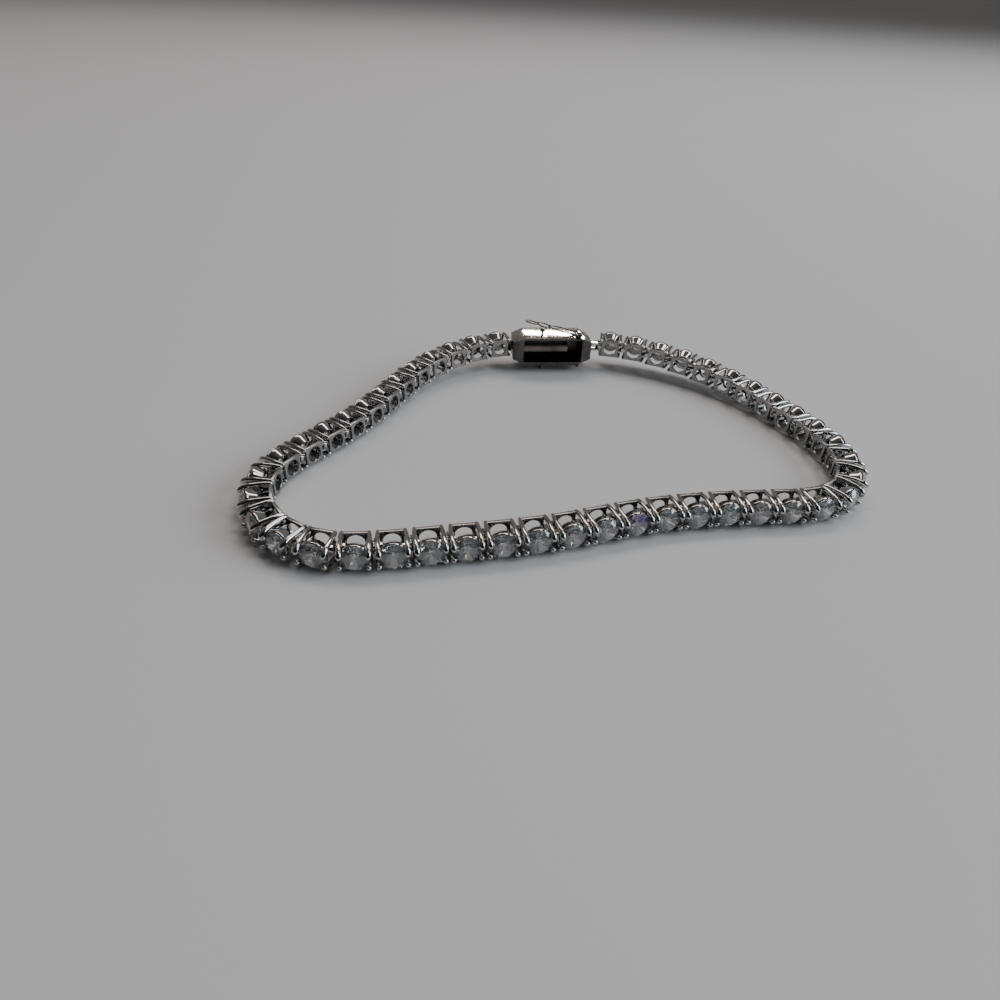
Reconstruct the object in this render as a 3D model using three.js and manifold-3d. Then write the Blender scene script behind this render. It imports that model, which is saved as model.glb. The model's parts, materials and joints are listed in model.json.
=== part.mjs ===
// A tennis bracelet: forty-six round stones in four-prong settings, closed by a box clasp with a
// wire safety latch on each side. It lies on its edge, as an open loop, with the stones facing out.
// Millimetres, +Z up. X runs along the clasp, and the clasp is at the back (+Y).

import * as THREE from 'three';
import { mergeVertices } from 'three/addons/utils/BufferGeometryUtils.js';
import Module from 'manifold-3d';

const wasm = await Module();
wasm.setup();

// ---------------------------------------------------------------- driving dimensions

// Chain
const LINK_COUNT = 46;
const LINK_PITCH = 3.6;
const RUN_COUNT = 8;
const STONE_DIAMETER = 3.0;
const HINGE_DEPTH = 1.25; // from the face against the wrist out to the hinge line

// Setting: depths are measured outward from the face against the wrist
const PLATE = { halfLength: 1.22, halfHeight: 1.2, inner: 0.06, outer: 0.48, holeRadius: 0.92 };
const RING = { outerApothem: 1.52, innerApothem: 1.3, inner: 1.58, outer: 2.6 };
const PRONG_STATIONS = [
  { depth: 0.0, x: 1.2, z: 1.12, half: 0.25 }, // head, against the wrist
  { depth: 2.85, x: 1.42, z: 1.14, half: 0.25 }, // shoulder, beside the stone's edge
  { depth: 3.3, x: 1.42, z: 1.08, half: 0.28 }, // closing over the stone
  { depth: 3.75, x: 1.38, z: 0.9, half: 0.3 }, // tip
];
const ARM = { inner: 0.3, outer: 1.5, halfHeight: 0.42, root: 1.0 };
const KNUCKLE = { radius: 0.42, halfHeight: 0.58, sides: 6 };
const RUN_GAP = 0.12; // between a knuckle and the next run's arm
const OVERLAP = 0.1; // how far a part runs into the one that it is joined to, or past the one it cuts

// Stone
const GIRDLE_DEPTH = 2.95;
const PAVILION_RATIO = 0.43;
const CROWN_RATIO = 0.15;
const TABLE_RATIO = 0.57;
const FACET_COUNT = 8;
const HOLE_SIDES = 6;

// Clasp: box and tongue block are one outline, cut where they meet, and open towards the wrist.
// It is deeper than the chain, so its inner face stands further in than its outer one stands out.
const CLASP = { height: 3.9, outerY: -1.7, innerY: 2.4, endHeight: 2.6, taper: 1.6 };
const BOX_END_GAP = 1.5; // from the chain's last hinge line to the box
const TONGUE_END_GAP = 0.3; // from the tongue block to the chain's first hinge line
const CLASP_SEAM = 1.4; // where the box ends, from the clasp's middle
const SEAM_GAP = 0.12;
const HOLLOW = { height: 3.2, depth: 3.4, from: -3.9, to: 4.6 };
const LEAF = { height: 1.5, thickness: 0.45, end: -1.8, sunk: 1.0, springDepth: 1.35 };

// Safety latches: on a tube across each side of the box, a wire figure of eight with a thumb ring.
// Both stand nearer to the wrist than the clasp's middle does.
const LATCH_Y = 1.2;
const LATCH = {
  wire: 0.36, gap: 0.12, hingeX: -3.3, tubeRadius: 0.32, tubeHalf: 0.5, footHalf: 0.19,
  eyeGap: 0.09, eye: 0.36, legEnd: 1.4,
};
const LATCH_RINGS = [
  { x: 2.55, halfLength: 2.2, halfWidth: 0.92 }, // over the box
  { x: 5.4, halfLength: 1.0, halfWidth: 0.92 }, // round the peg
  { x: 7.25, halfLength: 1.05, halfWidth: 0.62 }, // thumb ring
];
const WIRE_SEGMENTS = 6; // in a quarter of each loop
const PEG = { x: LATCH.hingeX + LATCH_RINGS[1].x, radius: 0.2, ball: 0.34, height: 0.9 };
const TOP_LATCH_LIFT = 14; // degrees that the top latch stands off its closed place

// Heights: links stand on their ring's lowest edge, the clasp on its lower peg
const LINK_CENTRE = RING.outerApothem;
const CLASP_CENTRE = CLASP.height / 2 + PEG.height + PEG.ball;
const LIFT_SPAN = 9; // links over which the chain climbs to the clasp

// How far the chain turns at each joint, in degrees, from the clasp's tongue round to its box.
// Joints between two rows take a straight-line value.
const BENDS = [
  { joint: 0, turn: 10 },
  { joint: 1, turn: 11 },
  { joint: 4, turn: 9 },
  { joint: 6, turn: 0 },
  { joint: 8, turn: -4 },
  { joint: 10, turn: 0 },
  { joint: 11, turn: 7 },
  { joint: 12, turn: 22 },
  { joint: 16, turn: 20.5 },
  { joint: 17, turn: 17 },
  { joint: 18, turn: 5 },
  { joint: 20, turn: -1 },
  { joint: 23, turn: 4 },
  { joint: 26, turn: -4 },
  { joint: 30, turn: -1 },
  { joint: 31, turn: 11 },
  { joint: 32, turn: 25 },
  { joint: 33, turn: 27 },
  { joint: 34, turn: 19 },
  { joint: 36, turn: 10 },
  { joint: 38, turn: 3 },
  { joint: 40, turn: 7 },
  { joint: 46, turn: 8 },
];

// ---------------------------------------------------------------- materials

const metal = (name) => new THREE.MeshStandardMaterial({
  name, color: 0xc9c8c6, metalness: 1.0, roughness: 0.12,
});
const stoneMaterial = () => new THREE.MeshStandardMaterial({
  name: 'clear stone', color: 0xdfe6ee, metalness: 0.0, roughness: 0.03,
});

// ---------------------------------------------------------------- solids

function toSolid(geometry) {
  const bare = geometry.index ? geometry.toNonIndexed() : geometry.clone();
  bare.deleteAttribute('normal');
  bare.deleteAttribute('uv');
  const merged = mergeVertices(bare, 1e-5);
  return new wasm.Manifold(new wasm.Mesh({
    numProp: 3,
    vertProperties: new Float32Array(merged.attributes.position.array),
    triVerts: new Uint32Array(merged.index.array),
  }));
}

function toGeometry(solid) {
  const mesh = solid.getMesh();
  const geometry = new THREE.BufferGeometry();
  const positions = new Float32Array(mesh.vertProperties);
  geometry.setAttribute('position', new THREE.BufferAttribute(positions, 3));
  geometry.setIndex(Array.from(mesh.triVerts));
  geometry.computeVertexNormals();
  return geometry;
}

function join(parts) {
  return parts.reduce((whole, part) => whole.add(part));
}

// A box given by its two corners.
function block(low, high) {
  const geometry = new THREE.BoxGeometry(high[0] - low[0], high[1] - low[1], high[2] - low[2]);
  geometry.translate((low[0] + high[0]) / 2, (low[1] + high[1]) / 2, (low[2] + high[2]) / 2);
  return toSolid(geometry);
}

// An outline in X and Z, thick from one Y to another.
function slab(shape, lowY, highY) {
  const geometry = new THREE.ExtrudeGeometry(shape, { depth: highY - lowY, bevelEnabled: false });
  geometry.rotateX(Math.PI / 2);
  geometry.translate(0, highY, 0);
  return toSolid(geometry);
}

function regularOutline(radius, sides, phase) {
  const corners = [];
  for (let i = 0; i < sides; i += 1) {
    const angle = phase + (i * 2 * Math.PI) / sides;
    corners.push(new THREE.Vector2(radius * Math.cos(angle), radius * Math.sin(angle)));
  }
  return corners;
}

function place(solid, matrix) {
  const geometry = toGeometry(solid);
  geometry.applyMatrix4(matrix);
  return toSolid(geometry);
}

// ---------------------------------------------------------------- one setting
// Local frame: X along the chain, +Y towards the wrist, Z up, Y = 0 on the hinge line.

const depthToY = (depth) => HINGE_DEPTH - depth;

function basePlate() {
  const { halfLength, halfHeight, inner, outer, holeRadius } = PLATE;
  const outline = new THREE.Shape();
  outline.moveTo(-halfLength, -halfHeight);
  outline.lineTo(halfLength, -halfHeight);
  outline.lineTo(halfLength, halfHeight);
  outline.lineTo(-halfLength, halfHeight);
  outline.holes.push(new THREE.Path(regularOutline(holeRadius, HOLE_SIDES, 0)));
  return slab(outline, depthToY(outer), depthToY(inner));
}

function seatRing() {
  const { outerApothem, innerApothem, inner, outer } = RING;
  const toCorner = 1 / Math.cos(Math.PI / FACET_COUNT);
  const outline = new THREE.Shape(
    regularOutline(outerApothem * toCorner, FACET_COUNT, Math.PI / 8),
  );
  outline.holes.push(
    new THREE.Path(regularOutline(innerApothem * toCorner, FACET_COUNT, Math.PI / 8)),
  );
  return slab(outline, depthToY(outer), depthToY(inner));
}

// A square bar that spreads from the plate to the girdle and closes over the stone's edge.
function prong(sideX, sideZ) {
  const lastRow = PRONG_STATIONS.length - 1;
  const bar = new THREE.BoxGeometry(2, 2, 2, 1, lastRow, 1);
  const points = bar.attributes.position;
  for (let i = 0; i < points.count; i += 1) {
    const row = Math.round(((1 - points.getY(i)) / 2) * lastRow);
    const { depth, x, z, half } = PRONG_STATIONS[row];
    points.setXYZ(
      i,
      sideX * x + points.getX(i) * half,
      depthToY(depth),
      sideZ * z + points.getZ(i) * half,
    );
  }
  return toSolid(bar);
}

// An arm along the chain, out to the reach given from the link's middle.
function arm(side, reach) {
  const { inner, outer, halfHeight, root } = ARM;
  const ends = [side * root, side * reach].sort((a, b) => a - b);
  return block([ends[0], depthToY(outer), -halfHeight], [ends[1], depthToY(inner), halfHeight]);
}

function knuckle() {
  const { radius, halfHeight, sides } = KNUCKLE;
  const barrel = new THREE.CylinderGeometry(radius, radius, halfHeight * 2, sides);
  barrel.rotateX(Math.PI / 2);
  return toSolid(barrel);
}

// Inside a run the arms overlap on the hinge line. A run ends in a knuckle, and the next one's
// first arm stops short of it.
function setting(firstOfRun, lastOfRun) {
  const joined = LINK_PITCH / 2 + OVERLAP;
  const startReach = firstOfRun ? LINK_PITCH / 2 - KNUCKLE.radius - RUN_GAP : joined;
  const parts = [basePlate(), seatRing(), arm(-1, startReach)];
  parts.push(arm(1, lastOfRun ? LINK_PITCH / 2 : joined));
  for (const sideX of [-1, 1]) {
    for (const sideZ of [-1, 1]) {
      parts.push(prong(sideX, sideZ));
    }
  }
  if (lastOfRun) {
    parts.push(place(knuckle(), new THREE.Matrix4().makeTranslation(LINK_PITCH / 2, 0, 0)));
  }
  return join(parts);
}

// ---------------------------------------------------------------- one stone

// A simple brilliant: culet, girdle and table, with its axis along the depth.
function stoneGeometry() {
  const radius = STONE_DIAMETER / 2;
  const pavilion = STONE_DIAMETER * PAVILION_RATIO;
  const crown = STONE_DIAMETER * CROWN_RATIO;
  const profile = [
    new THREE.Vector2(0, -pavilion),
    new THREE.Vector2(radius, 0),
    new THREE.Vector2(radius * TABLE_RATIO, crown),
    new THREE.Vector2(0, crown),
  ];
  const stone = new THREE.LatheGeometry(profile, FACET_COUNT, Math.PI / 8);
  stone.rotateX(Math.PI);
  stone.translate(0, depthToY(GIRDLE_DEPTH), 0);
  return toGeometry(toSolid(stone));
}

// ---------------------------------------------------------------- the chain's route

function turnAt(joint) {
  const next = BENDS.findIndex((row) => row.joint >= joint);
  const after = BENDS[next];
  const before = BENDS[Math.max(0, next - 1)];
  const span = after.joint - before.joint;
  const share = span > 0 ? (joint - before.joint) / span : 0;
  return THREE.MathUtils.degToRad(before.turn + (after.turn - before.turn) * share);
}

// Height of a link's middle: it climbs smoothly towards the clasp at either end of the chain.
function heightOf(link) {
  const fromClasp = Math.min(link + 0.5, LINK_COUNT - link - 0.5);
  const share = THREE.MathUtils.smoothstep(1 - fromClasp / LIFT_SPAN, 0, 1);
  return LINK_CENTRE + (CLASP_CENTRE - LINK_CENTRE) * share;
}

// Walks along the chain from the tongue, then turns the whole loop so the clasp lies along -X.
function chainRoute() {
  const headings = [];
  const joints = [new THREE.Vector2(0, 0)];
  let heading = 0;
  for (let link = 0; link < LINK_COUNT; link += 1) {
    heading += turnAt(link);
    headings.push(heading);
    const step = new THREE.Vector2(LINK_PITCH, 0).rotateAround(new THREE.Vector2(), heading);
    joints.push(joints[link].clone().add(step));
  }
  const closing = joints[0].clone().sub(joints[LINK_COUNT]);
  const turn = Math.PI - closing.angle();
  for (const joint of joints) {
    joint.rotateAround(new THREE.Vector2(), turn);
  }
  return { joints, headings: headings.map((value) => value + turn), claspSpan: closing.length() };
}

// Moves the route so that the loop's box is centred on the origin.
function centred(route) {
  const box = new THREE.Box2();
  route.joints.forEach((joint, index) => {
    const link = Math.min(index, LINK_COUNT - 1);
    const outward = new THREE.Vector2(0, depthToY(PRONG_STATIONS.at(-1).depth)).rotateAround(
      new THREE.Vector2(), route.headings[link],
    );
    box.expandByPoint(joint.clone().add(outward));
  });
  const middle = box.getCenter(new THREE.Vector2());
  route.joints.forEach((joint) => joint.sub(middle));
  return route;
}

function linkMatrix(route, link) {
  const middle = route.joints[link].clone().add(route.joints[link + 1]).multiplyScalar(0.5);
  const matrix = new THREE.Matrix4().makeRotationZ(route.headings[link]);
  matrix.setPosition(middle.x, middle.y, heightOf(link));
  return matrix;
}

// ---------------------------------------------------------------- the clasp
// Local frame: +X towards the tongue's end, +Y towards the wrist, Z up, centred on the clasp.

// The whole clasp's outline, seen from the wrist: a bar whose ends taper to the links' height.
function claspOutline(span) {
  const boxEnd = BOX_END_GAP - span / 2;
  const tongueEnd = span / 2 - TONGUE_END_GAP;
  const half = CLASP.height / 2;
  const endHalf = CLASP.endHeight / 2;
  const outline = new THREE.Shape();
  outline.moveTo(boxEnd, -endHalf);
  outline.lineTo(boxEnd + CLASP.taper, -half);
  outline.lineTo(tongueEnd - CLASP.taper, -half);
  outline.lineTo(tongueEnd, -endHalf);
  outline.lineTo(tongueEnd, endHalf);
  outline.lineTo(tongueEnd - CLASP.taper, half);
  outline.lineTo(boxEnd + CLASP.taper, half);
  outline.lineTo(boxEnd, endHalf);
  return slab(outline, CLASP.outerY, CLASP.innerY);
}

function claspHalf(span, fromX, toX) {
  const { height } = CLASP;
  return claspOutline(span).intersect(block([fromX, -height, -height], [toX, height, height]));
}

// The room for the leaf, open through the face against the wrist.
function claspHollow(fromX, toX) {
  const { height, depth, from } = HOLLOW;
  return block(
    [Math.max(fromX, from), CLASP.innerY - depth, -height / 2],
    [toX, CLASP.innerY + OVERLAP, height / 2],
  );
}

// A peg with a ball end, on the side that sideZ names.
function latchPeg(sideZ) {
  const side = CLASP.height / 2;
  const stem = new THREE.CylinderGeometry(PEG.radius, PEG.radius, PEG.height + OVERLAP, 6);
  stem.rotateX(Math.PI / 2);
  stem.translate(PEG.x, LATCH_Y, sideZ * (side + PEG.height / 2 - OVERLAP / 2));
  const ball = new THREE.SphereGeometry(PEG.ball, 8, 6);
  ball.rotateX(Math.PI / 2);
  ball.translate(PEG.x, LATCH_Y, sideZ * (side + PEG.height));
  return toSolid(stem).add(toSolid(ball));
}

const latchAxisZ = () => CLASP.height / 2 + LATCH.gap + LATCH.wire / 2;

function hingeTube(sideZ) {
  const { tubeRadius, tubeHalf, hingeX, footHalf } = LATCH;
  const tube = new THREE.CylinderGeometry(tubeRadius, tubeRadius, tubeHalf * 2, 8);
  tube.translate(hingeX, LATCH_Y, sideZ * latchAxisZ());
  const side = CLASP.height / 2 - OVERLAP;
  const footHeights = [sideZ * side, sideZ * latchAxisZ()].sort((a, b) => a - b);
  const foot = block(
    [hingeX - footHalf, LATCH_Y - tubeHalf, footHeights[0]],
    [hingeX + footHalf, LATCH_Y + tubeHalf, footHeights[1]],
  );
  return toSolid(tube).add(foot);
}

// A short bar from the clasp's end to the chain.
function claspArm(fromX, toX) {
  const halfDepth = (ARM.outer - ARM.inner) / 2;
  return block([fromX, -halfDepth, -ARM.halfHeight], [toX, halfDepth, ARM.halfHeight]);
}

function claspBox(span) {
  const body = claspHalf(span, -span, CLASP_SEAM).subtract(claspHollow(-span, CLASP_SEAM + OVERLAP));
  const boxEnd = BOX_END_GAP - span / 2;
  const arm = claspArm(KNUCKLE.radius + RUN_GAP - span / 2, boxEnd + OVERLAP);
  return join([body, hingeTube(1), hingeTube(-1), arm]);
}

// The tongue's end block, its leaf inside the box, and the two pegs for the latches.
function claspTongue(span) {
  const start = CLASP_SEAM + SEAM_GAP;
  const channel = claspHollow(CLASP_SEAM, HOLLOW.to);
  const body = claspHalf(span, start, span).subtract(channel);
  const leafTop = CLASP.innerY - LEAF.sunk;
  const leaf = block(
    [LEAF.end, leafTop - LEAF.thickness, -LEAF.height / 2],
    [HOLLOW.to + OVERLAP, leafTop, LEAF.height / 2],
  );
  const spring = block(
    [LEAF.end, leafTop - LEAF.springDepth, -LEAF.height / 2],
    [LEAF.end + LEAF.thickness, leafTop, LEAF.height / 2],
  );
  const arm = claspArm(span / 2 - TONGUE_END_GAP - OVERLAP, span / 2);
  const end = place(knuckle(), new THREE.Matrix4().makeTranslation(span / 2, 0, 0));
  return join([body, leaf, spring, latchPeg(1), latchPeg(-1), arm, end]);
}

// An oval ring of square wire, thick in Z and centred on its own middle.
function wireLoop(halfLength, halfWidth, wire) {
  const outline = new THREE.Shape();
  outline.absellipse(0, 0, halfLength, halfWidth, 0, Math.PI * 2, false, 0);
  const hole = new THREE.Path();
  hole.absellipse(0, 0, halfLength - wire, halfWidth - wire, 0, Math.PI * 2, false, 0);
  outline.holes.push(hole);
  const ring = new THREE.ExtrudeGeometry(outline, {
    depth: wire, bevelEnabled: false, curveSegments: WIRE_SEGMENTS,
  });
  ring.translate(0, 0, -wire / 2);
  return toSolid(ring);
}

// The latch in its closed place, with its hinge axis on the origin and its loops towards +X.
function latchSolid() {
  const { wire, tubeHalf, eyeGap, eye, legEnd } = LATCH;
  const parts = LATCH_RINGS.map(({ x, halfLength, halfWidth }) => {
    const ring = wireLoop(halfLength, halfWidth, wire);
    return place(ring, new THREE.Matrix4().makeTranslation(x, 0, 0));
  });
  for (const side of [-1, 1]) {
    const inner = tubeHalf + eyeGap;
    const ys = [side * inner, side * (inner + eye)].sort((a, b) => a - b);
    parts.push(block([-wire / 2, ys[0], -wire / 2], [legEnd, ys[1], wire / 2]));
  }
  return join(parts);
}

// ---------------------------------------------------------------- assembly

function namedMesh(name, geometry, material) {
  const mesh = new THREE.Mesh(geometry, material);
  mesh.name = name;
  return mesh;
}

const padded = (number) => String(number).padStart(2, '0');

function buildRuns(route) {
  const runs = new THREE.Group();
  const first = setting(true, false);
  const middle = setting(false, false);
  const last = setting(false, true);
  for (let run = 0; run < RUN_COUNT; run += 1) {
    const from = Math.round((run * LINK_COUNT) / RUN_COUNT);
    const to = Math.round(((run + 1) * LINK_COUNT) / RUN_COUNT);
    const links = [];
    for (let link = from; link < to; link += 1) {
      const kind = link === from ? first : link === to - 1 ? last : middle;
      links.push(place(kind, linkMatrix(route, link)));
    }
    runs.add(namedMesh(`setting_run_${run + 1}`, toGeometry(join(links)), metal('polished metal')));
  }
  return runs;
}

function buildStones(route) {
  const stones = new THREE.Group();
  for (let link = 0; link < LINK_COUNT; link += 1) {
    const stone = namedMesh(`stone_${padded(link + 1)}`, stoneGeometry(), stoneMaterial());
    stone.applyMatrix4(linkMatrix(route, link));
    stones.add(stone);
  }
  return stones;
}

function buildClasp(route) {
  const clasp = new THREE.Group();
  const span = route.claspSpan;
  clasp.add(namedMesh('clasp_box', toGeometry(claspBox(span)), metal('polished box')));
  clasp.add(namedMesh('clasp_tongue', toGeometry(claspTongue(span)), metal('polished tongue')));

  const top = namedMesh('safety_latch_top', toGeometry(latchSolid()), metal('latch wire'));
  top.position.set(LATCH.hingeX, LATCH_Y, latchAxisZ());
  top.rotation.y = -THREE.MathUtils.degToRad(TOP_LATCH_LIFT);
  clasp.add(top);

  const lower = namedMesh('safety_latch_lower', toGeometry(latchSolid()), metal('latch wire'));
  lower.position.set(LATCH.hingeX, LATCH_Y, -latchAxisZ());
  clasp.add(lower);

  const middle = route.joints[0].clone().add(route.joints[LINK_COUNT]).multiplyScalar(0.5);
  clasp.position.set(middle.x, middle.y, CLASP_CENTRE);
  clasp.rotation.z = Math.PI;
  return clasp;
}

const route = centred(chainRoute());
const bracelet = new THREE.Group();
bracelet.add(buildRuns(route), buildStones(route), buildClasp(route));

export default bracelet;
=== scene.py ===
"""A tennis bracelet: forty-six brilliants in four-prong settings, with a box clasp and two wire latches.

The frame gives where every link, the clasp and the latch hinges are. A setting and a brilliant are
each made once and copied along the chain. Lengths are in millimetres times MM. The rows of a shape,
and depths from the face against the wrist, are plain millimetres.
"""

import json
import math
import random

import bpy
from mathutils import Matrix, Vector


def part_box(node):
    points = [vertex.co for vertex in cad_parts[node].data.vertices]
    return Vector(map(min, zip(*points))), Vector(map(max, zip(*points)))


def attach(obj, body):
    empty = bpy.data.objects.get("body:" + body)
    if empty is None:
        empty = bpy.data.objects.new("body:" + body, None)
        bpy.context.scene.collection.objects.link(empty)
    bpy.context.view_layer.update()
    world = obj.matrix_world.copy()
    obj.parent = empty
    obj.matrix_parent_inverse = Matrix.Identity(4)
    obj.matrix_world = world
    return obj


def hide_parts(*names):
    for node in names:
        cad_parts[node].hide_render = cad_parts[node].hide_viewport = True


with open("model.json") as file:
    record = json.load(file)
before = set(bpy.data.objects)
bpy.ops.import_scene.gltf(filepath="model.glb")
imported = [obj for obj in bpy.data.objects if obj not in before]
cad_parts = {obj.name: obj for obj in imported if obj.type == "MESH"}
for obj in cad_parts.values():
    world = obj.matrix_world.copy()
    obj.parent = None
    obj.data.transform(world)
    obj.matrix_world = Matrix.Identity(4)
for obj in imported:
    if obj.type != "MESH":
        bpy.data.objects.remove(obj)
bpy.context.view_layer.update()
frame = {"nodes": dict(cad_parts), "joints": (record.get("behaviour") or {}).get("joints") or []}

# ---------------------------------------------------------------- sizes

MM = 0.001
WELD = 0.001 * MM  # corners nearer than this become one
SUNK = 0.1 * MM  # how far a part reaches into the body that it stands on
RIM_ROUNDING = 0.05 * MM
EDGE_ROUNDING = 0.04 * MM
LINK_COUNT = 46
RUN_COUNT = 8
PITCH = 3.6 * MM
HINGE_DEPTH = 1.25 * MM  # from the face against the wrist out to the hinge line
GIRDLE_DEPTH = 2.95 * MM
UP = Vector((0, 0, 1))

# A prong from its head against the wrist to its tip, which curls over the stone's edge like a
# claw. The tilt turns the bar's section from facing outward to facing the other prong.
PRONG_ROWS = [
    # depth, along, up, radius, tilt in degrees
    (0.00, 1.34, 1.05, 0.07, -20),
    (0.03, 1.34, 1.05, 0.15, -20),
    (0.10, 1.34, 1.06, 0.205, -20),
    (0.25, 1.35, 1.08, 0.235, -14),
    (0.60, 1.38, 1.12, 0.25, -8),
    (1.00, 1.41, 1.145, 0.25, 0),
    (1.60, 1.42, 1.145, 0.25, 1),
    (2.15, 1.42, 1.13, 0.255, 4),
    (2.50, 1.42, 1.09, 0.27, 11),
    (2.80, 1.42, 1.02, 0.295, 20),
    (3.08, 1.415, 0.93, 0.32, 31),
    (3.28, 1.405, 0.81, 0.33, 46),
    (3.42, 1.40, 0.69, 0.31, 60),
    (3.51, 1.39, 0.58, 0.27, 70),
    (3.55, 1.385, 0.50, 0.21, 76),
    (3.565, 1.38, 0.45, 0.14, 79),
    (3.57, 1.375, 0.42, 0.07, 80),
]
PRONG_SIDES = 16

PLATE_HALF_LENGTH = 1.24 * MM
PLATE_HALF_HEIGHT = 1.21 * MM
PLATE_NEAR, PLATE_FAR = 0.06, 0.46  # depths
PLATE_ROUNDING = 0.09 * MM
WINDOW_RADIUS = 0.90 * MM
WINDOW_DEPTH = 0.3
WINDOW_HALF = 1 * MM

SEAT_ROWS = [
    # depth, radius: up the sloping outside, over the rounded rim and back down the inside
    (1.60, 1.04), (2.05, 1.25), (2.42, 1.44), (2.53, 1.49), (2.62, 1.515), (2.70, 1.505),
    (2.76, 1.47), (2.76, 1.41), (2.20, 1.19), (1.60, 0.94),
]
SEAT_SIDES = 48

MIDDLE_EAR = [(-0.24, 0.24)]  # lowest and highest
OUTER_EARS = [(0.30, 0.56), (-0.56, -0.30)]
EAR_NEAR, EAR_FAR = 0.40, 1.55  # depths
EAR_ROOT = 0.95 * MM
EAR_EYE_RADIUS = 0.36 * MM
PIN_RADIUS = 0.19 * MM
PIN_HEIGHT = 0.60 * MM
PIN_HEAD_HALF = 0.08 * MM

STONE_SEED = 46
STONE_LEAN = 1.5  # degrees
# The stone whose tint carries a painted violet flash.
VIOLET_STONE = 26
STONE_RADIUS = 1.5 * MM
CROWN_ANGLE = math.radians(34.5)
PAVILION_ANGLE = math.radians(40.8)
GIRDLE_THICKNESS = 0.09 * MM
TABLE_SHARE = 0.57
STAR_SHARE = 0.5
LOWER_SHARE = 0.77
PAVILION_SHARE = 0.43  # of the stone's width, from its culet to the middle of its girdle
BLANK_DEPTH = 4 * MM

# Clasp frame: +X towards the tongue's end, +Y towards the wrist, Z up
CLASP_HALF = 1.95 * MM
CLASP_END_HALF = 1.3 * MM
CLASP_OUTER = -1.7 * MM
CLASP_INNER = 2.4 * MM
CLASP_MIDDLE = (CLASP_OUTER + CLASP_INNER) / 2
LATCH_Y = 1.2 * MM
CLASP_TAPER = 1.6 * MM
CLASP_END_SHARE = 0.9  # of its depth, left where the taper ends
CLASP_ROUNDING = 0.13 * MM
BOX_END_GAP = 1.5 * MM
TONGUE_END_GAP = 0.3 * MM
BOX_SEAM = 1.4 * MM
TONGUE_SEAM = 1.43 * MM
HOLLOW_LOW = Vector((-3.75, -1.1, -1.7)) * MM
HOLLOW_HIGH = Vector((4.8, 2.6, 1.7)) * MM
HOLLOW_ROUNDING = 0.22 * MM
PAST_SEAM = 0.3 * MM
LEAF_END = -1.8 * MM
LEAF_FACE = 1.4 * MM
LEAF_MIDDLE = 0.25 * MM  # under its face
LEAF_HALF = 0.75 * MM
LEAF_FLATNESS = 0.36
LEAF_ROUNDING = 0.12 * MM
FOLD_NEAR, FOLD_FAR = 0.2 * MM, 1.35 * MM  # under the leaf's face
FOLD_LENGTH = 0.4 * MM
FOLD_HALF = 0.7 * MM

HINGE_X = -3.3 * MM
TUBE_RADIUS = 0.32 * MM
TUBE_HALF = 0.5 * MM
TUBE_LIFT = 0.3 * MM
FOOT_HALF = 0.19 * MM
FOOT_SHARE = 0.96  # of the tube's length
FOOT_ROUNDING = 0.03 * MM
AXLE_RADIUS = 0.13 * MM
AXLE_HALF = 0.93 * MM
WIRE = 0.36 * MM
TOP_LATCH_LIFT = math.radians(14)
LATCH_RINGS = [
    # x, half length, half width
    (2.55, 2.2, 0.92),
    (5.4, 1.0, 0.92),
    (7.25, 1.05, 0.62),
]
COLLAR_RADIUS = 0.25 * MM
COLLAR_HALF = 0.16 * MM
COLLAR_ROUNDING = 0.06 * MM
LEG_OFFSET = 0.77 * MM
LEG_RADIUS = 0.9 * WIRE / 2
LEG_STATIONS = (0.3, 0.5, 1.5)
LATCH_EYE_RADIUS = 0.26 * MM
LATCH_EYE_WIRE = 0.10 * MM
PEG_X = 2.1 * MM
PEG_HEIGHT = 0.9 * MM
PEG_ROWS = [(-0.1, 0.26), (0.0, 0.26), (0.08, 0.2), (0.3, 0.17), (0.7, 0.17)]  # height, radius
BALL_RADIUS = 0.34 * MM


# ---------------------------------------------------------------- modelling helpers


def clear_selection():
    if bpy.context.object and bpy.context.object.mode != "OBJECT":
        bpy.ops.object.mode_set(mode="OBJECT")
    bpy.ops.object.select_all(action="DESELECT")


def only(piece):
    clear_selection()
    piece.select_set(True)
    bpy.context.view_layer.objects.active = piece


def settle(piece, name=None):
    """Puts the object's place, turn and size into its mesh."""
    only(piece)
    bpy.ops.object.transform_apply(location=True, rotation=True, scale=True)
    if name:
        piece.name = name
        piece.data.name = name
    return piece


def editing(piece, mode="FACE"):
    only(piece)
    bpy.ops.object.mode_set(mode="EDIT")
    bpy.ops.mesh.select_mode(type=mode)


def select_faces(piece, test):
    """Selects the faces that pass a test on their middle and normal, and stays in edit mode."""
    bpy.ops.mesh.select_all(action="DESELECT")
    bpy.ops.object.mode_set(mode="OBJECT")
    for face in piece.data.polygons:
        face.select = bool(test(face.center, face.normal))
    bpy.ops.object.mode_set(mode="EDIT")


def outward_faces():
    """Welds the mesh being edited, turns its faces outward and leaves edit mode."""
    bpy.ops.mesh.select_all(action="SELECT")
    bpy.ops.mesh.remove_doubles(threshold=WELD)
    bpy.ops.mesh.normals_make_consistent(inside=False)
    bpy.ops.object.mode_set(mode="OBJECT")


def modify(piece, kind, **settings):
    only(piece)
    modifier = piece.modifiers.new(kind, kind)
    for key, value in settings.items():
        setattr(modifier, key, value)
    bpy.ops.object.modifier_apply(modifier=modifier.name)


def smooth(piece, degrees=35):
    only(piece)
    bpy.ops.object.shade_smooth_by_angle(angle=math.radians(degrees))


def join(pieces, name):
    clear_selection()
    for piece in pieces:
        piece.select_set(True)
    bpy.context.view_layer.objects.active = pieces[0]
    if len(pieces) > 1:
        bpy.ops.object.join()
    return settle(pieces[0], name)


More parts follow.
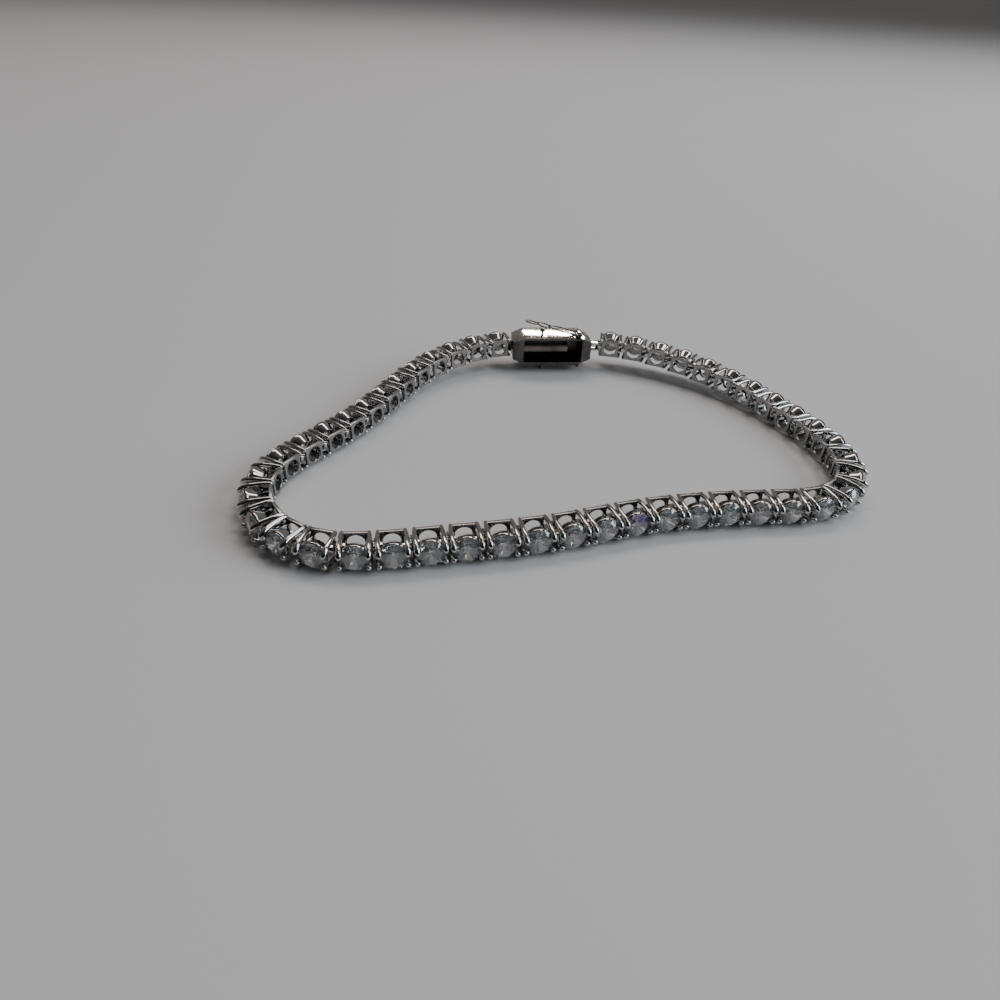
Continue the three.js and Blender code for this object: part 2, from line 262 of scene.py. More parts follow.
def copied(piece, matrix, name):
    twin = piece.copy()
    twin.data = piece.data.copy()
    bpy.context.scene.collection.objects.link(twin)
    twin.name = name
    twin.data.name = name
    twin.data.transform(matrix)
    return twin


def remove(piece):
    bpy.data.objects.remove(piece, do_unlink=True)


def rod(rows, sides, turn=(math.pi / 2, 0, 0)):
    """A round bar through rows of (place, radius, tilt): a disc, extruded from row to row.

    The tilt turns a row's section about X, so that a bent bar keeps its thickness.
    """
    clear_selection()
    place, radius, tilt = rows[0]
    bpy.ops.mesh.primitive_circle_add(
        vertices=sides, radius=radius, fill_type="NGON", location=place,
        rotation=(turn[0] + tilt, turn[1], turn[2]),
    )
    bar = settle(bpy.context.object)
    editing(bar)
    bpy.ops.mesh.select_all(action="SELECT")
    for next_place, next_radius, next_tilt in rows[1:]:
        step = Vector(next_place) - Vector(place)
        bpy.ops.mesh.extrude_region_move(TRANSFORM_OT_translate={"value": step})
        scale = next_radius / radius
        bpy.ops.transform.resize(value=(scale, scale, scale), center_override=next_place)
        if next_tilt != tilt:
            bpy.ops.transform.rotate(
                value=tilt - next_tilt, orient_axis="X", center_override=next_place
            )
        place, radius, tilt = next_place, next_radius, next_tilt
    outward_faces()
    smooth(bar, 60)
    return bar


def turned_ring(rows, sides):
    """A ring about Y through rows of (y, radius) that go round its section and close."""
    clear_selection()
    y, radius = rows[0]
    bpy.ops.mesh.primitive_circle_add(
        vertices=sides, radius=radius, location=(0, y, 0), rotation=(math.pi / 2, 0, 0)
    )
    ring = settle(bpy.context.object)
    editing(ring, "EDGE")
    bpy.ops.mesh.select_all(action="SELECT")
    for next_y, next_radius in rows[1:] + rows[:1]:
        bpy.ops.mesh.extrude_region_move(TRANSFORM_OT_translate={"value": (0, next_y - y, 0)})
        scale = next_radius / radius
        bpy.ops.transform.resize(value=(scale, 1, scale), center_override=(0, next_y, 0))
        y, radius = next_y, next_radius
    outward_faces()
    smooth(ring, 50)
    return ring


def cube(low, high, bevel=0.0, segments=3):
    """A block between two corners, with its edges rounded."""
    clear_selection()
    low, high = Vector(low), Vector(high)
    bpy.ops.mesh.primitive_cube_add(size=1, location=(low + high) / 2)
    block = bpy.context.object
    block.scale = high - low
    settle(block)
    if bevel:
        editing(block, "EDGE")
        bpy.ops.mesh.select_all(action="SELECT")
        bpy.ops.mesh.bevel(offset=bevel, segments=segments, profile=0.5, affect="EDGES")
        outward_faces()
    return block


def barrel(middle, radius, half, axis, sides=24, bevel=0.0):
    """A cylinder along X, Y or Z, with rounded rims."""
    clear_selection()
    turn = {"X": (0, math.pi / 2, 0), "Y": (math.pi / 2, 0, 0), "Z": (0, 0, 0)}[axis]
    bpy.ops.mesh.primitive_cylinder_add(
        vertices=sides, radius=radius, depth=half * 2, location=middle, rotation=turn
    )
    round_bar = settle(bpy.context.object)
    if bevel:
        direction = Vector({"X": (1, 0, 0), "Y": (0, 1, 0), "Z": (0, 0, 1)}[axis])
        editing(round_bar)
        select_faces(round_bar, lambda _, normal: abs(normal.dot(direction)) > 0.9)
        bpy.ops.mesh.region_to_loop()
        bpy.ops.mesh.bevel(offset=bevel, segments=3, profile=0.5, affect="EDGES")
        outward_faces()
    return round_bar


def cut(piece, cutter):
    modify(piece, "BOOLEAN", operation="DIFFERENCE", object=cutter, solver="EXACT")
    remove(cutter)


# ---------------------------------------------------------------- one setting
# Link frame: X along the chain, +Y towards the wrist, Z up, Y = 0 on the hinge line.


def depth_y(depth):
    """The link frame's Y at a depth from the face against the wrist."""
    return HINGE_DEPTH - depth * MM


def prong(side_x, side_z):
    """One of the four prongs: a bar from its head to its claw."""
    rows = []
    for depth, along, up, radius, tilt in PRONG_ROWS:
        place = (side_x * along * MM, depth_y(depth), side_z * up * MM)
        rows.append((place, radius * MM, side_z * math.radians(tilt)))
    return rod(rows, PRONG_SIDES)


def base_plate():
    """A square frame with a round window, its corners under the prong heads and its edges soft."""
    low = (-PLATE_HALF_LENGTH, depth_y(PLATE_FAR), -PLATE_HALF_HEIGHT)
    high = (PLATE_HALF_LENGTH, depth_y(PLATE_NEAR), PLATE_HALF_HEIGHT)
    plate = cube(low, high)
    cut(plate, barrel((0, depth_y(WINDOW_DEPTH), 0), WINDOW_RADIUS, WINDOW_HALF, "Y", sides=40))
    modify(plate, "BEVEL", width=PLATE_ROUNDING, segments=3, limit_method="ANGLE", angle_limit=0.8)
    smooth(plate, 20)
    return plate


def seat_ring():
    """The cone that the stone sits in."""
    return turned_ring([(depth_y(depth), radius * MM) for depth, radius in SEAT_ROWS], SEAT_SIDES)


def ears(rows, root_x, joint_x):
    """Flat lugs from a body out to a hinge line, each with a round eye."""
    pieces = []
    ends = sorted((root_x, joint_x))
    for low, high in rows:
        low_corner = (ends[0], depth_y(EAR_FAR), low * MM)
        high_corner = (ends[1], depth_y(EAR_NEAR), high * MM)
        pieces.append(cube(low_corner, high_corner, EDGE_ROUNDING, 2))
        middle = (joint_x, 0, (low + high) / 2 * MM)
        half = (high - low) / 2 * MM
        pieces.append(barrel(middle, EAR_EYE_RADIUS, half, "Z", 20, RIM_ROUNDING))
    return pieces


def pin(joint_x):
    """The domed heads of a hinge pin."""
    heads = []
    for side_z in (-1, 1):
        middle = (joint_x, 0, side_z * PIN_HEIGHT)
        heads.append(barrel(middle, PIN_RADIUS, PIN_HEAD_HALF, "Z", 16, RIM_ROUNDING))
    return heads


def hinge():
    """A middle ear with its pin on one side of the link, and a pair of ears on the other."""
    half = PITCH / 2
    pieces = ears(MIDDLE_EAR, EAR_ROOT, half) + ears(OUTER_EARS, -EAR_ROOT, -half) + pin(half)
    for piece in pieces:
        smooth(piece, 40)
    return pieces


def one_setting(metal, dull_and_shade):
    """A whole link. Its plate, which comes first in the joined mesh, isn't polished."""
    plate = base_plate()
    plate_faces = len(plate.data.polygons)
    pieces = [plate, seat_ring()] + hinge()
    for side_x in (-1, 1):
        for side_z in (-1, 1):
            pieces.append(prong(side_x, side_z))
    link = join(pieces, "setting_pattern")
    dress(link, metal, dull_and_shade)
    for face in link.data.polygons[:plate_faces]:
        face.material_index = 1
    return link


# ---------------------------------------------------------------- one brilliant
# Its axis is along Y, table towards -Y, girdle in the plane Y = 0.


def facet_point(radius, turn, height):
    return Vector((radius * math.cos(turn), -height, radius * math.sin(turn)))


def crown_main_height(radius, off_turn):
    """Height of a crown main facet's plane at a radius, off_turn away from the facet's middle."""
    rise = (STONE_RADIUS - radius * math.cos(off_turn)) * math.tan(CROWN_ANGLE)
    return GIRDLE_THICKNESS / 2 + rise


def pavilion_main_depth(radius, off_turn):
    """Depth of a pavilion main facet's plane under the girdle's middle, in the same way."""
    fall = (STONE_RADIUS - radius * math.cos(off_turn)) * math.tan(PAVILION_ANGLE)
    return GIRDLE_THICKNESS / 2 + fall


def facet_planes():
    """Every facet as three points on its plane: table, stars, crown mains and halves, pavilion."""
    step = math.radians(45)
    half_step = step / 2
    table = STONE_RADIUS * TABLE_SHARE
    table_height = crown_main_height(table, 0)
    table_side = table * math.cos(half_step)
    star_tip = table_side + STAR_SHARE * (STONE_RADIUS - table_side)
    star_height = crown_main_height(star_tip, half_step)
    lower_tip = STONE_RADIUS * (1 - LOWER_SHARE)
    lower_depth = pavilion_main_depth(lower_tip, half_step)
    girdle = GIRDLE_THICKNESS / 2
    planes = [(facet_point(1, 0, table_height), facet_point(1, 2, table_height),
               facet_point(1, 4, table_height))]
    for index in range(8):
        main = index * step
        planes.append((facet_point(table, main, table_height),
                       facet_point(table, main + step, table_height),
                       facet_point(star_tip, main + half_step, star_height)))
        across = facet_point(STONE_RADIUS, main, girdle)
        sideways = Vector((-math.sin(main), 0, math.cos(main))) * MM
        planes.append((across, across + sideways, facet_point(table, main, table_height)))
        below = facet_point(STONE_RADIUS, main, -girdle)
        planes.append((below, below + sideways, facet_point(0, main, -pavilion_main_depth(0, 0))))
        for side in (-1, 1):
            between = main + side * half_step
            planes.append((across, facet_point(STONE_RADIUS, between, girdle),
                           facet_point(star_tip, between, star_height)))
            planes.append((below, facet_point(STONE_RADIUS, between, -girdle),
                           facet_point(lower_tip, between, -lower_depth)))
    return planes


def one_brilliant():
    """A round blank, ground facet by facet."""
    clear_selection()
    bpy.ops.mesh.primitive_cylinder_add(
        vertices=64, radius=STONE_RADIUS, depth=BLANK_DEPTH, rotation=(math.pi / 2, 0, 0)
    )
    stone = settle(bpy.context.object, "stone_pattern")
    editing(stone)
    for first, second, third in facet_planes():
        normal = (second - first).cross(third - first).normalized()
        if normal.dot(first) < 0:
            normal.negate()
        bpy.ops.mesh.select_all(action="SELECT")
        bpy.ops.mesh.bisect(plane_co=first, plane_no=normal, use_fill=True, clear_outer=True,
                            threshold=0.0002 * MM)
    bpy.ops.mesh.select_all(action="SELECT")
    bpy.ops.mesh.remove_doubles(threshold=0.002 * MM)
    bpy.ops.mesh.normals_make_consistent(inside=False)
    bpy.ops.object.mode_set(mode="OBJECT")
    return stone


# ---------------------------------------------------------------- the clasp


def clasp_form(flat_from, flat_to, side):
    """A block whose end on one side is drawn out and down to the chain's height."""
    form = cube((flat_from, CLASP_OUTER, -CLASP_HALF), (flat_to, CLASP_INNER, CLASP_HALF))
    editing(form)
    select_faces(form, lambda _, normal: normal.x * side > 0.9)
    end = flat_to if side > 0 else flat_from
    step = (side * CLASP_TAPER, 0, 0)
    bpy.ops.mesh.extrude_region_move(TRANSFORM_OT_translate={"value": step})
    bpy.ops.transform.resize(
        value=(1, CLASP_END_SHARE, CLASP_END_HALF / CLASP_HALF),
        center_override=(end + side * CLASP_TAPER, CLASP_MIDDLE, 0),
    )
    outward_faces()
    return form


def hollowed(form, from_x, to_x):
    """Opens the room for the leaf, and rounds every edge."""
    low = (from_x, HOLLOW_LOW.y, HOLLOW_LOW.z)
    high = (to_x, HOLLOW_HIGH.y, HOLLOW_HIGH.z)
    cut(form, cube(low, high, HOLLOW_ROUNDING))
    modify(form, "BEVEL", width=CLASP_ROUNDING, segments=3, limit_method="ANGLE", angle_limit=0.5)
    smooth(form, 40)
    return form


def hinge_tube(side_z):
    """The tube that a latch turns on, on its foot, with the ends of the pin showing."""
    height = side_z * (CLASP_HALF + TUBE_LIFT)
    middle = Vector((HINGE_X, LATCH_Y, height))
    tube = barrel(middle, TUBE_RADIUS, TUBE_HALF, "Y", 24, RIM_ROUNDING)
    heights = sorted((side_z * (CLASP_HALF - SUNK), height))
    low = (HINGE_X - FOOT_HALF, LATCH_Y - TUBE_HALF * FOOT_SHARE, heights[0])
    high = (HINGE_X + FOOT_HALF, LATCH_Y + TUBE_HALF * FOOT_SHARE, heights[1])
    foot = cube(low, high, FOOT_ROUNDING, 2)
    axle = barrel(middle, AXLE_RADIUS, AXLE_HALF, "Y", 16, EDGE_ROUNDING)
    return [tube, foot, axle]


def build_clasp_box(place, span, metal):
    """The half with the hinge tubes; span is from one hinge of the chain to the other."""
    end = BOX_END_GAP - span / 2
    form = clasp_form(end + CLASP_TAPER, BOX_SEAM, -1)
    form = hollowed(form, HOLLOW_LOW.x, BOX_SEAM + PAST_SEAM)
    pieces = [form] + hinge_tube(1) + hinge_tube(-1)
    pieces += ears(OUTER_EARS, end + SUNK, -span / 2)
    for piece in pieces[1:]:
        smooth(piece, 40)
    return finish_piece(pieces, "box_of_clasp", place, metal, "chain", "clasp_box")


def latch_peg(side_z):
    """A turned stem with a ball head."""
    rows = []
    for height, radius in PEG_ROWS:
        rows.append(((PEG_X, LATCH_Y, side_z * (CLASP_HALF + height * MM)), radius * MM, 0))
    stem = rod(rows, 16, (0, 0, 0))
    clear_selection()
    bpy.ops.mesh.primitive_uv_sphere_add(
        segments=24, ring_count=16, radius=BALL_RADIUS,
        location=(PEG_X, LATCH_Y, side_z * (CLASP_HALF + PEG_HEIGHT)),
    )
    ball = settle(bpy.context.object)
    smooth(ball, 60)
    return [stem, ball]


def leaf_spring():
    """The tongue: a crowned leaf that folds back on itself at its free end."""
    length = HOLLOW_HIGH.x + SUNK - LEAF_END
    middle = (LEAF_END + length / 2, LEAF_FACE - LEAF_MIDDLE, 0)
    leaf = barrel(middle, LEAF_HALF, length / 2, "X", 32, LEAF_ROUNDING)
    editing(leaf)
    bpy.ops.mesh.select_all(action="SELECT")
    bpy.ops.transform.resize(value=(1, LEAF_FLATNESS, 1), center_override=middle)
    outward_faces()
    smooth(leaf, 50)
    low = (LEAF_END, LEAF_FACE - FOLD_FAR, -FOLD_HALF)
    high = (LEAF_END + FOLD_LENGTH, LEAF_FACE - FOLD_NEAR, FOLD_HALF)
    fold = cube(low, high, LEAF_ROUNDING)
    smooth(fold, 50)
    return [leaf, fold]


def build_clasp_tongue(place, span, metal):
    """The half that clicks into the box, with the leaf and the two pegs."""
    end = span / 2 - TONGUE_END_GAP
    form = clasp_form(TONGUE_SEAM, end - CLASP_TAPER, 1)
    form = hollowed(form, TONGUE_SEAM - PAST_SEAM, HOLLOW_HIGH.x)
    pieces = [form] + leaf_spring() + latch_peg(1) + latch_peg(-1)
    joint = ears(MIDDLE_EAR, end - SUNK, span / 2) + pin(span / 2)
    for piece in joint:
        smooth(piece, 40)
    return finish_piece(
        pieces + joint, "tongue_of_clasp", place, metal, "chain", "clasp_tongue"
    )


def wire_ring(x, half_length, half_width):
    """An oval of round wire."""
    clear_selection()
    bpy.ops.curve.primitive_bezier_circle_add(radius=1, location=(0, 0, 0))
    ring = bpy.context.object
    ring.scale = (half_length * MM - WIRE / 2, half_width * MM - WIRE / 2, 1)
    bpy.ops.object.transform_apply(location=False, rotation=False, scale=True)
    ring.data.bevel_depth = WIRE / 2
    ring.data.bevel_resolution = 4
    ring.data.resolution_u = 10
    ring.location = (x * MM, 0, 0)
    bpy.ops.object.convert(target="MESH")
    ring = settle(bpy.context.object)
    smooth(ring, 80)
    return ring


def build_latch(name, place, metal, body, replaced):
    """A wire figure of eight with a thumb ring, its legs ending in eyes beside the hinge tube."""
    pieces = [wire_ring(x, half_length, half_width) for x, half_length, half_width in LATCH_RINGS]
    for (x, half_length, _), (next_x, next_half, _) in zip(LATCH_RINGS, LATCH_RINGS[1:]):
        waist = (x + half_length + next_x - next_half) / 2 * MM
        pieces.append(barrel((waist, 0, 0), COLLAR_RADIUS, COLLAR_HALF, "X", 20, COLLAR_ROUNDING))
    for side in (-1, 1):
        across = side * LEG_OFFSET
        leg = [((x * MM, across, 0), LEG_RADIUS, 0) for x in LEG_STATIONS]
        pieces.append(rod(leg, 16, (0, math.pi / 2, 0)))
        clear_selection()
        bpy.ops.mesh.primitive_torus_add(
            major_segments=24, minor_segments=10, major_radius=LATCH_EYE_RADIUS,
            minor_radius=LATCH_EYE_WIRE, location=(0, across, 0), rotation=(math.pi / 2, 0, 0),
        )
        eye = settle(bpy.context.object)
        smooth(eye, 80)
        pieces.append(eye)
    return finish_piece(pieces, name, place, metal, body, replaced)


def finish_piece(pieces, name, place, metal, body, replaced):
    """Joins a clasp or latch piece, puts it in its place and gives it to its body."""
    piece = join(pieces, name)
    piece.data.transform(place)
    dress(piece, metal)
    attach(piece, body)
    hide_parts(replaced)
    return piece


def paint_shade_in_clasp(piece, place, dull_and_shade, worn_leaf):
    """Paints shade on the hollow, its rim, the seam and the tongue's end with a near-black material, and
    gives the leaf another.
    """
    piece.data.materials.append(dull_and_shade)
    piece.data.materials.append(worn_leaf)
    to_clasp = place.inverted()
    near = 0.06 * MM
    for face in piece.data.polygons:
        middle = to_clasp @ face.center
        facing = to_clasp.to_3x3() @ face.normal
        inside = all(
            low - near < value < high + near
            for low, value, high in zip(HOLLOW_LOW, middle, HOLLOW_HIGH)
        )
        on_leaf = inside and abs(middle.z) < 0.8 * MM and middle.y > 0 and middle.x > LEAF_END - near
        on_rim = facing.y > 0.6 and middle.x > HOLLOW_LOW.x + near and middle.y > LEAF_FACE + near
        at_seam = abs(facing.x) > 0.3 and BOX_SEAM - 3 * near < middle.x < TONGUE_SEAM + 3 * near
        at_end = middle.x > HOLLOW_HIGH.x - 3 * near and facing.z < 0.3
        # The hollow, rim, seam and end faces take the near-black material as painted shade.
        if on_leaf:
            face.material_index = 2
        elif inside or on_rim or at_seam or at_end:
            face.material_index = 1


def build_clasp(metal, inside, worn_leaf, wire):
    joints = {joint["name"]: Vector(joint["pos_m"]) for joint in frame["joints"]}
    top, lower = joints["latch_top_hinge"], joints["latch_lower_hinge"]
    half_turn = Matrix.Rotation(math.pi, 4, "Z")
    middle = Vector((top.x + HINGE_X, top.y + LATCH_Y, (top.z + lower.z) / 2))
    place = Matrix.Translation(middle) @ half_turn
    last_joint = link_matrix(LINK_COUNT) @ Vector((PITCH / 2, 0, 0))
    span = 2 * (last_joint.x - middle.x)
    box = build_clasp_box(place, span, metal)
    tongue = build_clasp_tongue(place, span, metal)
    for piece in (box, tongue):
        paint_shade_in_clasp(piece, place, inside, worn_leaf)
    lifted = Matrix.Translation(top) @ half_turn @ Matrix.Rotation(-TOP_LATCH_LIFT, 4, "Y")
    build_latch("top_latch", lifted, wire, "latch_top", "safety_latch_top")
    flat = Matrix.Translation(lower) @ half_turn
    build_latch("lower_latch", flat, wire, "latch_lower", "safety_latch_lower")


# ---------------------------------------------------------------- materials

COLOUR_A, COLOUR_B, COLOUR_OUT = 6, 7, 2  # a Mix node's sockets for colours


def bare_material(name):
    material = bpy.data.materials.new(name)
    material.use_nodes = True
    return material, material.node_tree.nodes, material.node_tree.links


def node(nodes, kind, **values):
    made = nodes.new(kind)
    for key, value in values.items():
        if key in made.inputs:
            made.inputs[key].default_value = value
        else:
            setattr(made, key, value)
    return made


def ramp(nodes, stops):
    made = nodes.new("ShaderNodeValToRGB")
    elements = made.color_ramp.elements
    while len(elements) < len(stops):
        elements.new(0.5)
    for element, (place, colour) in zip(elements, stops):
        element.position = place
        element.color = (*colour, 1)
    return made


def polished_metal(name, colour, dull_colour, gloss, worn, painted_shade_reach):
    """Plated metal: fine ripples, cloudy wear in its gloss, a dull film, and painted shade that darkens
    recesses and gaps nearly to black.
    """
    material, nodes, links = bare_material(name)
    shader = nodes["Principled BSDF"]
    shader.inputs["Metallic"].default_value = 1
    place = node(nodes, "ShaderNodeTexCoord")

    film = node(nodes, "ShaderNodeTexNoise", Scale=420.0, Detail=4.0, Roughness=0.6)
    links.new(place.outputs["Object"], film.inputs["Vector"])
    film_colour = ramp(nodes, [(0.42, colour), (0.72, dull_colour)])
    links.new(film.outputs["Fac"], film_colour.inputs["Fac"])
    # Painted shade: ambient occlusion turns the colour nearly black in recesses, gaps and hollows, where
    # shade falls.
    shade_occlusion = node(nodes, "ShaderNodeAmbientOcclusion", samples=6, Distance=painted_shade_reach)
    painted_shade = ramp(nodes, [(0.12, (0.03, 0.029, 0.028)), (0.65, (1, 1, 1))])
    links.new(shade_occlusion.outputs["AO"], painted_shade.inputs["Fac"])
    film_and_painted_shade = node(nodes, "ShaderNodeMix", data_type="RGBA", blend_type="MULTIPLY")
    film_and_painted_shade.inputs["Factor"].default_value = 1
    links.new(film_colour.outputs["Color"], film_and_painted_shade.inputs[COLOUR_A])
    links.new(painted_shade.outputs["Color"], film_and_painted_shade.inputs[COLOUR_B])
    links.new(film_and_painted_shade.outputs[COLOUR_OUT], shader.inputs["Base Color"])

    wear = node(nodes, "ShaderNodeTexNoise", Scale=1900.0, Detail=5.0, Roughness=0.65)
    links.new(place.outputs["Object"], wear.inputs["Vector"])
    wear_range = node(nodes, "ShaderNodeMapRange")
    wear_range.inputs["From Min"].default_value = 0.35
    wear_range.inputs["From Max"].default_value = 0.75
    wear_range.inputs["To Min"].default_value = gloss
    wear_range.inputs["To Max"].default_value = worn
    links.new(wear.outputs["Fac"], wear_range.inputs["Value"])
    links.new(wear_range.outputs["Result"], shader.inputs["Roughness"])

    ripple = node(nodes, "ShaderNodeTexNoise", Scale=1300.0, Detail=2.0)
    links.new(place.outputs["Object"], ripple.inputs["Vector"])
    bump = node(nodes, "ShaderNodeBump", Strength=0.25, Distance=0.02 * MM)
    links.new(ripple.outputs["Fac"], bump.inputs["Height"])
    links.new(bump.outputs["Normal"], shader.inputs["Normal"])
    return material


def clear_stone(name, colour, cloud_and_flash_colour, cloud_and_flash_from, cloud_and_flash_to):
    """Clear crystal of high index, with the faintest unevenness in tint and polish; a strong second tint
    paints a flash of colour.
    """
    material, nodes, links = bare_material(name)
    shader = nodes["Principled BSDF"]
    shader.inputs["Transmission Weight"].default_value = 0.86
    shader.inputs["IOR"].default_value = 2.17
    place = node(nodes, "ShaderNodeTexCoord")
    cloud_and_flash = node(nodes, "ShaderNodeTexNoise", Scale=500.0, Detail=3.0)
    links.new(place.outputs["Object"], cloud_and_flash.inputs["Vector"])
    tint = ramp(nodes, [(cloud_and_flash_from, colour), (cloud_and_flash_to, cloud_and_flash_colour)])
    links.new(cloud_and_flash.outputs["Fac"], tint.inputs["Fac"])
    links.new(tint.outputs["Color"], shader.inputs["Base Color"])
    smear = node(nodes, "ShaderNodeTexNoise", Scale=2500.0, Detail=3.0)
    links.new(place.outputs["Object"], smear.inputs["Vector"])
    gloss = node(nodes, "ShaderNodeMapRange")
    gloss.inputs["To Min"].default_value = 0.0
    gloss.inputs["To Max"].default_value = 0.02
    links.new(smear.outputs["Fac"], gloss.inputs["Value"])
    links.new(gloss.outputs["Result"], shader.inputs["Roughness"])
    return material


def dress(piece, *materials):
    piece.data.materials.clear()
    for material in materials:
        piece.data.materials.append(material)


# ---------------------------------------------------------------- the chain

POLE_REACH = 0.02 * MM  # how near the middle height a culet or a table's middle is


def link_matrix(index):
    """Where a link stands, from its stone's culet and the middle of its table."""
    stone = f"stone_{index:02d}"
    corners = [vertex.co.copy() for vertex in frame["nodes"][stone].data.vertices]
    low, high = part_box(stone)
    middle_z = (low.z + high.z) / 2
    poles = [corner for corner in corners if abs(corner.z - middle_z) < POLE_REACH]
    first = poles[0]
    second = max(poles, key=lambda corner: (corner - first).length)
    first = max(poles, key=lambda corner: (corner - second).length)
    mean = sum(corners, Vector()) / len(corners)
    culet, table = sorted((first, second), key=lambda pole: -(pole - mean).length)
    outward = table - culet
    outward.z = 0
    outward.normalize()
    girdle = culet + outward * STONE_RADIUS * 2 * PAVILION_SHARE
    origin = girdle - outward * (GIRDLE_DEPTH - HINGE_DEPTH)
    origin.z = middle_z
    along = UP.cross(outward)
    turn = Matrix((along, -outward, UP)).transposed().to_4x4()
    return Matrix.Translation(origin) @ turn


def build_runs(metal, dull_and_shade):
    pattern = one_setting(metal, dull_and_shade)
    for run in range(RUN_COUNT):
        first = round(run * LINK_COUNT / RUN_COUNT)
        last = round((run + 1) * LINK_COUNT / RUN_COUNT)
        links = []
        for index in range(first, last):
            links.append(copied(pattern, link_matrix(index + 1), f"link_{index + 1:02d}"))
        piece = join(links, f"settings_{run + 1}")
        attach(piece, "chain")
        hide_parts(f"setting_run_{run + 1}")
    remove(pattern)


def build_stones(clear, violet_painted_flash):
    rng = random.Random(STONE_SEED)
    pattern = one_brilliant()
    seat = Matrix.Translation((0, HINGE_DEPTH - GIRDLE_DEPTH, 0))
    for index in range(1, LINK_COUNT + 1):
        turn = Matrix.Rotation(rng.uniform(0, math.tau), 4, "Y")
        lean = Matrix.Rotation(math.radians(rng.uniform(-STONE_LEAN, STONE_LEAN)), 4, "X")
        place = link_matrix(index) @ seat @ lean @ turn
        piece = copied(pattern, place, f"brilliant_{index:02d}")
        dress(piece, violet_painted_flash if index == VIOLET_STONE else clear)
        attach(piece, "chain")
        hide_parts(f"stone_{index:02d}")
    remove(pattern)


# ---------------------------------------------------------------- stage, light and camera

FLOOR_SIZE = 40
SOFT_BOXES = [
    # name, azimuth from +X towards +Y, elevation, distance, width, height, watts, colour
    ("window", -8, 26, 1.0, 0.66, 0.54, 5.6, (0.84, 0.93, 1.0)),
    ("lamp", 80, 56, 0.9, 0.90, 0.22, 2.6, (1.0, 0.90, 0.84)),
    ("skylight", 8, 62, 1.0, 0.34, 0.30, 1.2, (0.95, 0.98, 1.0)),
]
CARD_PLACE = (0.026, 0.118, 0.047)
CARD_TARGET = (0.0055, 0.0214, 0.005)
CAMERA_PLACE = (-0.01586, -0.07626, 0.04767)
CAMERA_TURN, CAMERA_TILT, CAMERA_ROLL = -7.06, 53.53, 3.01  # degrees
CAMERA_LENS = 25.86


def build_stage():
    clear_selection()
    bpy.ops.mesh.primitive_plane_add(size=FLOOR_SIZE, location=(0, 0, 0))
    floor = bpy.context.object
    floor.name = "floor"
    material, nodes, _ = bare_material("pale_table")
    shader = nodes["Principled BSDF"]
    shader.inputs["Roughness"].default_value = 0.55
    shader.inputs["Specular IOR Level"].default_value = 0.3
    shader.inputs["Base Color"].default_value = (0.80, 0.80, 0.81, 1)
    dress(floor, material)


def area_light(name, place, target, width, height, power, colour):
    data = bpy.data.lights.new(name, "AREA")
    data.shape = "RECTANGLE"
    data.size = width
    data.size_y = height
    data.energy = power
    data.color = colour
    lamp = bpy.data.objects.new(name, data)
    bpy.context.scene.collection.objects.link(lamp)
    lamp.location = place
    lamp.rotation_euler = (Vector(target) - Vector(place)).to_track_quat("-Z", "Y").to_euler()
    return lamp


def soft_box(name, azimuth, elevation, distance, width, height, power, colour):
    """A wide light that looks at the bracelet."""
    turn, rise = math.radians(azimuth), math.radians(elevation)
    place = distance * Vector((
        math.cos(turn) * math.cos(rise), math.sin(turn) * math.cos(rise), math.sin(rise)
    ))
    area_light(name, place, (0, 0, 0), width, height, power, colour)


def build_lights():
    """Three soft boxes, and a small card that lights only the clasp."""
    for values in SOFT_BOXES:
        soft_box(*values)
    card = area_light("card", CARD_PLACE, CARD_TARGET, 0.060, 0.024, 0.14, (1.0, 0.94, 0.84))
    card.visible_camera = False
    card.light_linking.receiver_collection = bpy.data.collections.new("card_lights")
    for name in ("box_of_clasp", "tongue_of_clasp"):
        card.light_linking.receiver_collection.objects.link(bpy.data.objects[name])


def build_room():
    """A dim room, darker on the near side, that the camera itself sees as pale grey."""
    world = bpy.data.worlds.new("studio")
    bpy.context.scene.world = world
    world.use_nodes = True
    nodes = world.node_tree.nodes
    links = world.node_tree.links
    place = node(nodes, "ShaderNodeTexCoord")
    split = node(nodes, "ShaderNodeSeparateXYZ")
    links.new(place.outputs["Generated"], split.inputs["Vector"])
    shift = node(nodes, "ShaderNodeMapRange")
    shift.inputs["From Min"].default_value = -1
    links.new(split.outputs["Y"], shift.inputs["Value"])
    room = ramp(nodes, [(0.22, (0.010, 0.010, 0.010)), (0.50, (0.075, 0.074, 0.073)),
                        (0.95, (0.19, 0.175, 0.165))])
    links.new(shift.outputs["Result"], room.inputs["Fac"])
    path = node(nodes, "ShaderNodeLightPath")
    pale = node(nodes, "ShaderNodeMix", data_type="RGBA")
    pale.inputs[COLOUR_B].default_value = (0.42, 0.42, 0.43, 1)
    links.new(path.outputs["Is Camera Ray"], pale.inputs["Factor"])
    links.new(room.outputs["Color"], pale.inputs[COLOUR_A])
    links.new(pale.outputs[COLOUR_OUT], nodes["Background"].inputs["Color"])


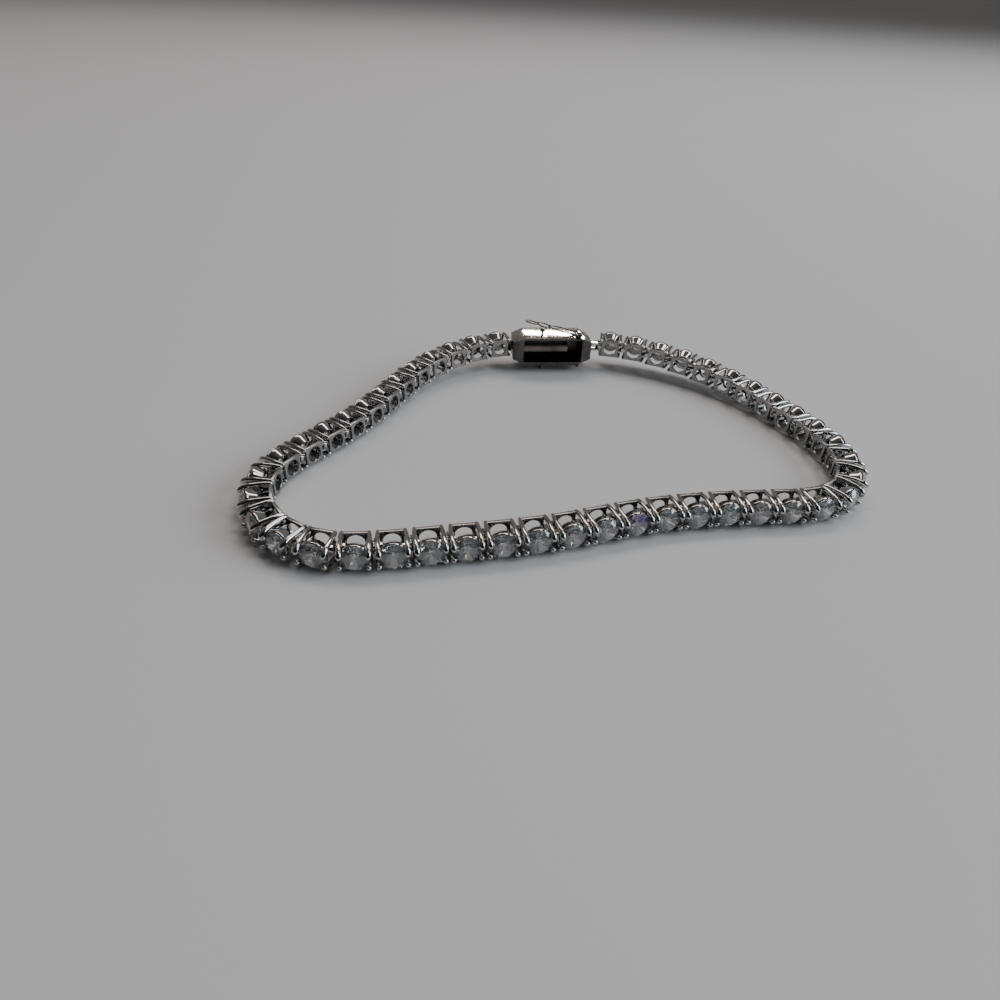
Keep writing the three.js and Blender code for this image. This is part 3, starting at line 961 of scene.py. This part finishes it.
def build_camera():
    data = bpy.data.cameras.new("camera")
    data.lens = CAMERA_LENS
    data.sensor_width = 36
    data.clip_start = 0.001
    camera = bpy.data.objects.new("camera", data)
    bpy.context.scene.collection.objects.link(camera)
    turn = Matrix.Rotation(math.radians(CAMERA_TURN), 4, "Z")
    tilt = Matrix.Rotation(math.radians(CAMERA_TILT), 4, "X")
    roll = Matrix.Rotation(math.radians(CAMERA_ROLL), 4, "Z")
    camera.matrix_world = Matrix.Translation(CAMERA_PLACE) @ (turn @ tilt @ roll)
    bpy.context.scene.camera = camera


# ---------------------------------------------------------------- assembly

chain_metal = polished_metal(
    "polished rhodium", (0.62, 0.615, 0.61), (0.48, 0.47, 0.455),
    gloss=0.04, worn=0.14, painted_shade_reach=0.7 * MM,
)
clear = clear_stone("clear stone", (0.97, 0.975, 0.98), (0.90, 0.91, 0.925), 0.35, 0.70)
# Painted light: one stone's violet patch in its tint stands in for a flash of dispersed colour.
violet_painted_flash = clear_stone("violet stone painted flash", (0.95, 0.95, 0.97), (0.62, 0.42, 1.0), 0.50, 0.66)
clasp_metal = polished_metal(
    "polished clasp", (0.62, 0.59, 0.565), (0.46, 0.43, 0.40),
    gloss=0.06, worn=0.18, painted_shade_reach=2.6 * MM,
)
# Painted shade: a near-black metal for the clasp's hollow, rim, seam and end, where shade falls.
clasp_inside_painted_shade = polished_metal(
    "clasp inside painted shade", (0.15, 0.14, 0.13), (0.07, 0.065, 0.06),
    gloss=0.22, worn=0.42, painted_shade_reach=2.6 * MM,
)
leaf_metal = polished_metal(
    "worn leaf", (0.30, 0.26, 0.235), (0.16, 0.14, 0.125),
    gloss=0.25, worn=0.45, painted_shade_reach=0.6 * MM,
)
plate_metal = polished_metal(
    "unpolished plate", (0.36, 0.355, 0.35), (0.26, 0.255, 0.25),
    gloss=0.22, worn=0.38, painted_shade_reach=0.5 * MM,
)
wire_metal = polished_metal(
    "latch wire", (0.28, 0.27, 0.26), (0.18, 0.17, 0.16),
    gloss=0.10, worn=0.24, painted_shade_reach=0.5 * MM,
)
build_runs(chain_metal, plate_metal)
build_stones(clear, violet_painted_flash)
build_clasp(clasp_metal, clasp_inside_painted_shade, leaf_metal, wire_metal)
build_stage()
build_lights()
build_room()
build_camera()
